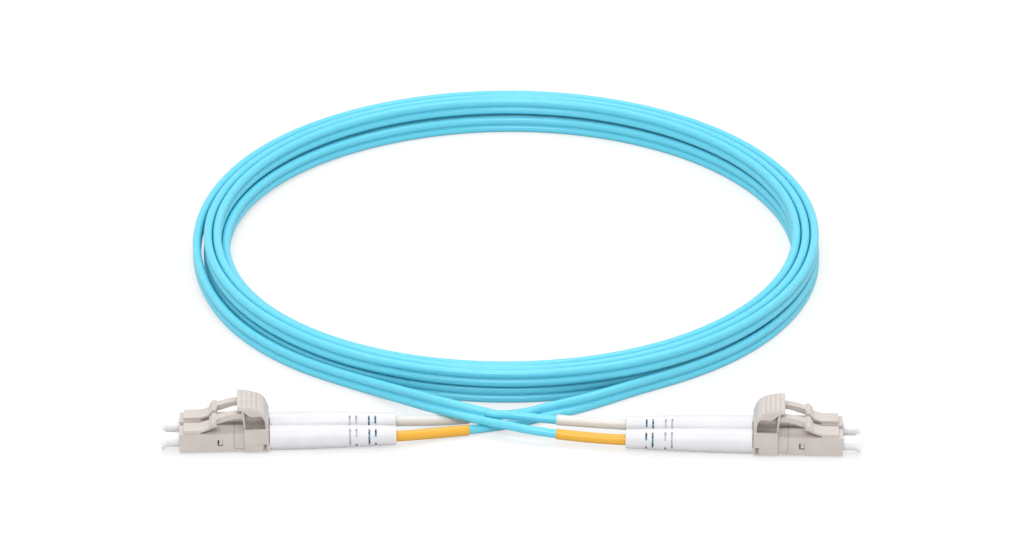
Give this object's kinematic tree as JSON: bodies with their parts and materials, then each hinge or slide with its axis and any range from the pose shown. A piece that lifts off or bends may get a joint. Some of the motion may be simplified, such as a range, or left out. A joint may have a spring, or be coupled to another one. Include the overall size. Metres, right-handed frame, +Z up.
{
  "type": "fiber optic patch cord",
  "caption": "Duplex fibre optic patch cord in a round coil, with a clipped pair of small square connectors, boots and dust caps at each end.",
  "frame": {"origin": "on the table, midway between the two duplex plugs", "axes": "+X from the left plug to the right plug, +Y from the plugs towards the coil, +Z up"},
  "size_m": [0.158, 0.1753, 0.0113],
  "materials": {
    "beige_plastic": "satin moulded",
    "white_boot": "satin soft plastic",
    "cap_plastic": "milky, see-through",
    "zirconia": "polished",
    "plated_metal": "nickel plated",
    "spring_steel": "drawn wire",
    "fibre_buffer": "tight buffer",
    "aqua_jacket": "satin jacket",
    "yellow_sleeve": "satin tube",
    "white_sleeve": "satin tube"
  },
  "bodies": {
    "cord": {"cord_coil": "aqua_jacket", "cord_tail_left": "aqua_jacket", "cord_tail_right": "aqua_jacket", "duplex_clip_left": "beige_plastic", "duplex_clip_right": "beige_plastic", "housing_left_near": "beige_plastic", "housing_left_far": "beige_plastic", "housing_right_near": "beige_plastic", "housing_right_far": "beige_plastic", "rear_body_left_near": "beige_plastic", "rear_body_left_far": "beige_plastic", "rear_body_right_near": "beige_plastic", "rear_body_right_far": "beige_plastic", "spring_left_near": "spring_steel", "spring_left_far": "spring_steel", "spring_right_near": "spring_steel", "spring_right_far": "spring_steel", "crimp_ring_left_near": "plated_metal", "crimp_ring_left_far": "plated_metal", "crimp_ring_right_near": "plated_metal", "crimp_ring_right_far": "plated_metal", "buffered_fibre_left_near": "fibre_buffer", "buffered_fibre_left_far": "fibre_buffer", "buffered_fibre_right_near": "fibre_buffer", "buffered_fibre_right_far": "fibre_buffer", "boot_left_near": "white_boot", "boot_left_far": "white_boot", "boot_right_near": "white_boot", "boot_right_far": "white_boot", "marker_sleeve_left_near": "yellow_sleeve", "marker_sleeve_left_far": "white_sleeve", "marker_sleeve_right_near": "yellow_sleeve", "marker_sleeve_right_far": "white_sleeve", "cord_leg_left_near": "aqua_jacket", "cord_leg_left_far": "aqua_jacket", "cord_leg_right_near": "aqua_jacket", "cord_leg_right_far": "aqua_jacket"},
    "trigger_left": {"clip_trigger_left": "beige_plastic"},
    "trigger_right": {"clip_trigger_right": "beige_plastic"},
    "latch_left_near": {"latch_arm_left_near": "beige_plastic"},
    "latch_left_far": {"latch_arm_left_far": "beige_plastic"},
    "latch_right_near": {"latch_arm_right_near": "beige_plastic"},
    "latch_right_far": {"latch_arm_right_far": "beige_plastic"},
    "ferrule_left_near": {"ferrule_left_near": "zirconia", "ferrule_collar_left_near": "plated_metal"},
    "ferrule_left_far": {"ferrule_left_far": "zirconia", "ferrule_collar_left_far": "plated_metal"},
    "ferrule_right_near": {"ferrule_right_near": "zirconia", "ferrule_collar_right_near": "plated_metal"},
    "ferrule_right_far": {"ferrule_right_far": "zirconia", "ferrule_collar_right_far": "plated_metal"},
    "cap_left_near": {"dust_cap_left_near": "cap_plastic"},
    "cap_left_far": {"dust_cap_left_far": "cap_plastic"},
    "cap_right_near": {"dust_cap_right_near": "cap_plastic"},
    "cap_right_far": {"dust_cap_right_far": "cap_plastic"}
  },
  "joints": [
    {"name": "trigger_press_left", "type": "hinge", "parent": "cord", "child": "trigger_left", "pos_m": [-0.05504, 0.00073, 0.00622], "axis": [0.0384, -0.9993, 0], "range_deg": [0, 12], "stiffness_Nm_per_rad": 0.1},
    {"name": "trigger_press_right", "type": "hinge", "parent": "cord", "child": "trigger_right", "pos_m": [0.05504, -0.00093, 0.00622], "axis": [0.0384, 0.9993, 0], "range_deg": [0, 12], "stiffness_Nm_per_rad": 0.1},
    {"name": "latch_press_left_near", "type": "hinge", "parent": "cord", "child": "latch_left_near", "pos_m": [-0.06993, -0.00297, 0.00555], "axis": [-0.0384, 0.9993, 0], "range_deg": [0, 8]},
    {"name": "latch_press_left_far", "type": "hinge", "parent": "cord", "child": "latch_left_far", "pos_m": [-0.07017, 0.00328, 0.00555], "axis": [-0.0384, 0.9993, 0], "range_deg": [0, 8]},
    {"name": "latch_press_right_near", "type": "hinge", "parent": "cord", "child": "latch_right_near", "pos_m": [0.06993, -0.00462, 0.00555], "axis": [-0.0384, -0.9993, 0], "range_deg": [0, 8]},
    {"name": "latch_press_right_far", "type": "hinge", "parent": "cord", "child": "latch_right_far", "pos_m": [0.07017, 0.00162, 0.00555], "axis": [-0.0384, -0.9993, 0], "range_deg": [0, 8]},
    {"name": "ferrule_float_left_near", "type": "slide", "parent": "cord", "child": "ferrule_left_near", "axis": [0.9993, 0.0384, 0], "range_m": [0, 0.001], "stiffness_N_per_m": 1000, "springref_m": -0.005, "deforming": ["spring_left_near"]},
    {"name": "ferrule_float_left_far", "type": "slide", "parent": "cord", "child": "ferrule_left_far", "axis": [0.9993, 0.0384, 0], "range_m": [0, 0.001], "stiffness_N_per_m": 1000, "springref_m": -0.005, "deforming": ["spring_left_far"]},
    {"name": "ferrule_float_right_near", "type": "slide", "parent": "cord", "child": "ferrule_right_near", "axis": [-0.9993, 0.0384, 0], "range_m": [0, 0.001], "stiffness_N_per_m": 1000, "springref_m": -0.005, "deforming": ["spring_right_near"]},
    {"name": "ferrule_float_right_far", "type": "slide", "parent": "cord", "child": "ferrule_right_far", "axis": [-0.9993, 0.0384, 0], "range_m": [0, 0.001], "stiffness_N_per_m": 1000, "springref_m": -0.005, "deforming": ["spring_right_far"]},
    {"name": "cap_pull_left_near", "type": "slide", "parent": "cord", "child": "cap_left_near", "axis": [-0.9993, -0.0384, 0], "range_m": [0, 0.008]},
    {"name": "cap_pull_left_far", "type": "slide", "parent": "cord", "child": "cap_left_far", "axis": [-0.9993, -0.0384, 0], "range_m": [0, 0.008]},
    {"name": "cap_pull_right_near", "type": "slide", "parent": "cord", "child": "cap_right_near", "axis": [0.9993, -0.0384, 0], "range_m": [0, 0.008]},
    {"name": "cap_pull_right_far", "type": "slide", "parent": "cord", "child": "cap_right_far", "axis": [0.9993, -0.0384, 0], "range_m": [0, 0.008]}
  ],
  "couplings": [
    {"joint": "latch_press_left_near", "follows": "trigger_press_left", "ratio": 0.66},
    {"joint": "latch_press_left_far", "follows": "trigger_press_left", "ratio": 0.66},
    {"joint": "latch_press_right_near", "follows": "trigger_press_right", "ratio": 0.66},
    {"joint": "latch_press_right_far", "follows": "trigger_press_right", "ratio": 0.66}
  ]
}
